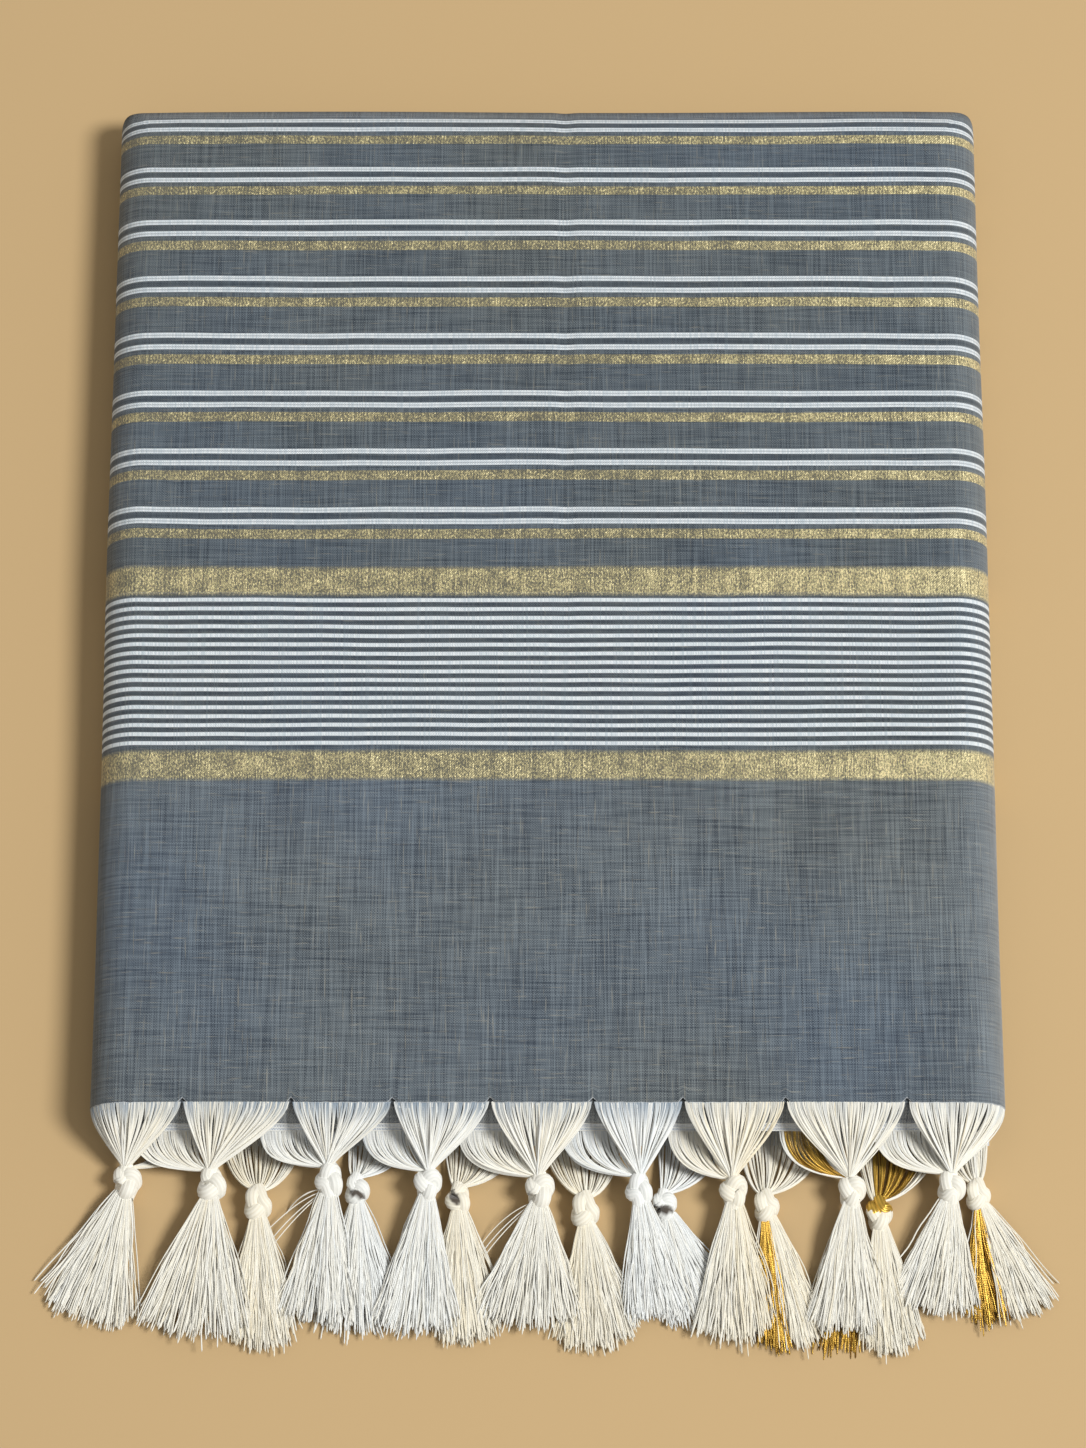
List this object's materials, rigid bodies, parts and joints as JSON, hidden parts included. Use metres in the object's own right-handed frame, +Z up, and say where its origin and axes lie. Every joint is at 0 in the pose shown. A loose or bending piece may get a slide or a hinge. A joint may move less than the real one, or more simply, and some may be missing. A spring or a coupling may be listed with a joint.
{
  "type": "folded saree with tassels",
  "caption": "Handloom cotton saree folded flat, striped end piece on top, rolled sides and knotted thread tassels along the near edge.",
  "frame": {"origin": "middle of the underside of the folded packet, on the surface it lies on", "axes": "+X across the packet to the right, +Y away from the tassels, +Z up"},
  "size_m": [0.3199, 0.4219, 0.024],
  "materials": {
    "pallu_cloth": "handloom cotton, slate blue-grey with white lines and matt gold bands woven in",
    "plain_cloth": "plain handloom cotton, slate blue-grey with pale slubs",
    "tassel_thread": "soft mercerised cotton thread, white to cream, with a few matt gold threads"
  },
  "bodies": {
    "root": {"pallu_over": "pallu_cloth", "pallu_second": "pallu_cloth", "folded_body": "plain_cloth", "pallu_under": "plain_cloth", "tassel_front_1": "tassel_thread", "tassel_front_2": "tassel_thread", "tassel_front_3": "tassel_thread", "tassel_front_4": "tassel_thread", "tassel_front_5": "tassel_thread", "tassel_front_6": "tassel_thread", "tassel_front_7": "tassel_thread", "tassel_front_8": "tassel_thread", "tassel_front_9": "tassel_thread", "tassel_rear_1": "tassel_thread", "tassel_rear_2": "tassel_thread", "tassel_rear_3": "tassel_thread", "tassel_rear_4": "tassel_thread", "tassel_rear_5": "tassel_thread", "tassel_rear_6": "tassel_thread", "tassel_rear_7": "tassel_thread", "tassel_rear_8": "tassel_thread"}
  },
  "joints": []
}
